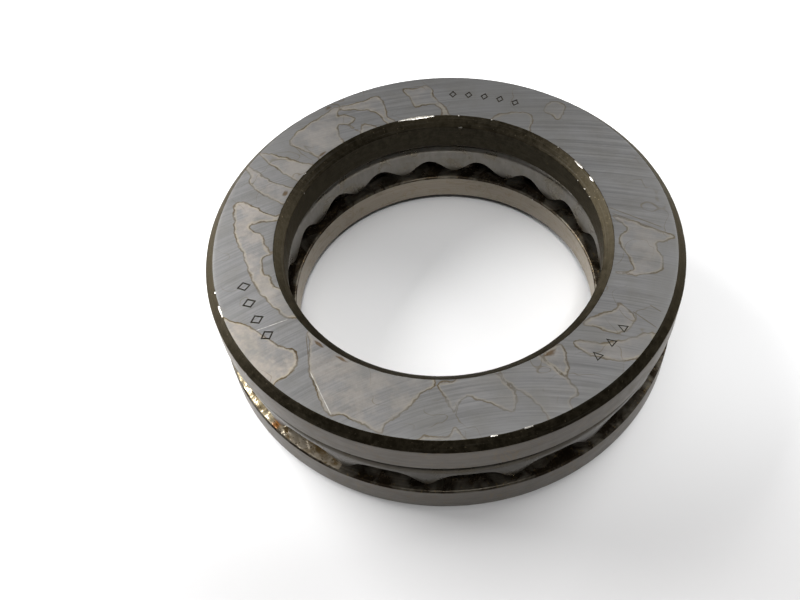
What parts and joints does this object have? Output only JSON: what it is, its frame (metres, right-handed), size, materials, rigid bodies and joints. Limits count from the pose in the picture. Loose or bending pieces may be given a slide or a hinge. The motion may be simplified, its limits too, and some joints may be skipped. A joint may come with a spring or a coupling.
{
  "type": "thrust ball bearing",
  "caption": "Single-direction thrust ball bearing: two flat ground steel washers with ball grooves, and a row of steel balls in a pressed steel channel cage between them.",
  "frame": {"origin": "centre of the shaft washer's back face, on the bearing's axis", "axes": "+Z along the bearing's axis, from the shaft washer to the housing washer; +X and +Y are any two square radial directions, with ball_01 at 14 degrees from +X"},
  "size_m": [0.06, 0.06, 0.016],
  "materials": {
    "ground_steel": "surface-ground bearing steel, lightly stained, with dark unground chamfers",
    "pressed_steel": "pressed sheet steel, satin, with an oil film",
    "ball_steel": "polished"
  },
  "bodies": {
    "shaft_washer": {"shaft_washer": "ground_steel"},
    "housing_washer": {"housing_washer": "ground_steel"},
    "ball_cage": {"ball_cage": "pressed_steel"},
    "ball_01": {"ball_01": "ball_steel"},
    "ball_02": {"ball_02": "ball_steel"},
    "ball_03": {"ball_03": "ball_steel"},
    "ball_04": {"ball_04": "ball_steel"},
    "ball_05": {"ball_05": "ball_steel"},
    "ball_06": {"ball_06": "ball_steel"},
    "ball_07": {"ball_07": "ball_steel"},
    "ball_08": {"ball_08": "ball_steel"},
    "ball_09": {"ball_09": "ball_steel"},
    "ball_10": {"ball_10": "ball_steel"},
    "ball_11": {"ball_11": "ball_steel"},
    "ball_12": {"ball_12": "ball_steel"},
    "ball_13": {"ball_13": "ball_steel"},
    "ball_14": {"ball_14": "ball_steel"},
    "ball_15": {"ball_15": "ball_steel"},
    "ball_16": {"ball_16": "ball_steel"},
    "ball_17": {"ball_17": "ball_steel"},
    "ball_18": {"ball_18": "ball_steel"}
  },
  "joints": [
    {"name": "housing_washer_spin", "type": "hinge", "parent": "shaft_washer", "child": "housing_washer", "pos_m": [0, 0, 0], "axis": [0, 0, 1], "continuous": true},
    {"name": "cage_spin", "type": "hinge", "parent": "shaft_washer", "child": "ball_cage", "pos_m": [0, 0, 0], "axis": [0, 0, 1], "continuous": true},
    {"name": "ball_01_spin", "type": "hinge", "parent": "ball_cage", "child": "ball_01", "pos_m": [0.0245, 0.00611, 0.008], "axis": [0.9703, 0.2419, 0], "continuous": true},
    {"name": "ball_02_spin", "type": "hinge", "parent": "ball_cage", "child": "ball_02", "pos_m": [0.02093, 0.01412, 0.008], "axis": [0.829, 0.5592, 0], "continuous": true},
    {"name": "ball_03_spin", "type": "hinge", "parent": "ball_cage", "child": "ball_03", "pos_m": [0.01484, 0.02043, 0.008], "axis": [0.5878, 0.809, 0], "continuous": true},
    {"name": "ball_04_spin", "type": "hinge", "parent": "ball_cage", "child": "ball_04", "pos_m": [0.00696, 0.02427, 0.008], "axis": [0.2756, 0.9613, 0], "continuous": true},
    {"name": "ball_05_spin", "type": "hinge", "parent": "ball_cage", "child": "ball_05", "pos_m": [-0.00176, 0.02519, 0.008], "axis": [-0.0698, 0.9976, 0], "continuous": true},
    {"name": "ball_06_spin", "type": "hinge", "parent": "ball_cage", "child": "ball_06", "pos_m": [-0.01027, 0.02307, 0.008], "axis": [-0.4067, 0.9135, 0], "continuous": true},
    {"name": "ball_07_spin", "type": "hinge", "parent": "ball_cage", "child": "ball_07", "pos_m": [-0.01754, 0.01816, 0.008], "axis": [-0.6947, 0.7193, 0], "continuous": true},
    {"name": "ball_08_spin", "type": "hinge", "parent": "ball_cage", "child": "ball_08", "pos_m": [-0.02269, 0.01107, 0.008], "axis": [-0.8988, 0.4384, 0], "continuous": true},
    {"name": "ball_09_spin", "type": "hinge", "parent": "ball_cage", "child": "ball_09", "pos_m": [-0.02511, 0.00264, 0.008], "axis": [-0.9945, 0.1045, 0], "continuous": true},
    {"name": "ball_10_spin", "type": "hinge", "parent": "ball_cage", "child": "ball_10", "pos_m": [-0.0245, -0.00611, 0.008], "axis": [-0.9703, -0.2419, 0], "continuous": true},
    {"name": "ball_11_spin", "type": "hinge", "parent": "ball_cage", "child": "ball_11", "pos_m": [-0.02093, -0.01412, 0.008], "axis": [-0.829, -0.5592, 0], "continuous": true},
    {"name": "ball_12_spin", "type": "hinge", "parent": "ball_cage", "child": "ball_12", "pos_m": [-0.01484, -0.02043, 0.008], "axis": [-0.5878, -0.809, 0], "continuous": true},
    {"name": "ball_13_spin", "type": "hinge", "parent": "ball_cage", "child": "ball_13", "pos_m": [-0.00696, -0.02427, 0.008], "axis": [-0.2756, -0.9613, 0], "continuous": true},
    {"name": "ball_14_spin", "type": "hinge", "parent": "ball_cage", "child": "ball_14", "pos_m": [0.00176, -0.02519, 0.008], "axis": [0.0698, -0.9976, 0], "continuous": true},
    {"name": "ball_15_spin", "type": "hinge", "parent": "ball_cage", "child": "ball_15", "pos_m": [0.01027, -0.02307, 0.008], "axis": [0.4067, -0.9135, 0], "continuous": true},
    {"name": "ball_16_spin", "type": "hinge", "parent": "ball_cage", "child": "ball_16", "pos_m": [0.01754, -0.01816, 0.008], "axis": [0.6947, -0.7193, 0], "continuous": true},
    {"name": "ball_17_spin", "type": "hinge", "parent": "ball_cage", "child": "ball_17", "pos_m": [0.02269, -0.01107, 0.008], "axis": [0.8988, -0.4384, 0], "continuous": true},
    {"name": "ball_18_spin", "type": "hinge", "parent": "ball_cage", "child": "ball_18", "pos_m": [0.02511, -0.00264, 0.008], "axis": [0.9945, -0.1045, 0], "continuous": true}
  ],
  "couplings": [
    {"joint": "cage_spin", "follows": "housing_washer_spin", "ratio": 0.5},
    {"joint": "ball_01_spin", "follows": "housing_washer_spin", "ratio": -3.5344},
    {"joint": "ball_02_spin", "follows": "housing_washer_spin", "ratio": -3.5344},
    {"joint": "ball_03_spin", "follows": "housing_washer_spin", "ratio": -3.5344},
    {"joint": "ball_04_spin", "follows": "housing_washer_spin", "ratio": -3.5344},
    {"joint": "ball_05_spin", "follows": "housing_washer_spin", "ratio": -3.5344},
    {"joint": "ball_06_spin", "follows": "housing_washer_spin", "ratio": -3.5344},
    {"joint": "ball_07_spin", "follows": "housing_washer_spin", "ratio": -3.5344},
    {"joint": "ball_08_spin", "follows": "housing_washer_spin", "ratio": -3.5344},
    {"joint": "ball_09_spin", "follows": "housing_washer_spin", "ratio": -3.5344},
    {"joint": "ball_10_spin", "follows": "housing_washer_spin", "ratio": -3.5344},
    {"joint": "ball_11_spin", "follows": "housing_washer_spin", "ratio": -3.5344},
    {"joint": "ball_12_spin", "follows": "housing_washer_spin", "ratio": -3.5344},
    {"joint": "ball_13_spin", "follows": "housing_washer_spin", "ratio": -3.5344},
    {"joint": "ball_14_spin", "follows": "housing_washer_spin", "ratio": -3.5344},
    {"joint": "ball_15_spin", "follows": "housing_washer_spin", "ratio": -3.5344},
    {"joint": "ball_16_spin", "follows": "housing_washer_spin", "ratio": -3.5344},
    {"joint": "ball_17_spin", "follows": "housing_washer_spin", "ratio": -3.5344},
    {"joint": "ball_18_spin", "follows": "housing_washer_spin", "ratio": -3.5344}
  ]
}
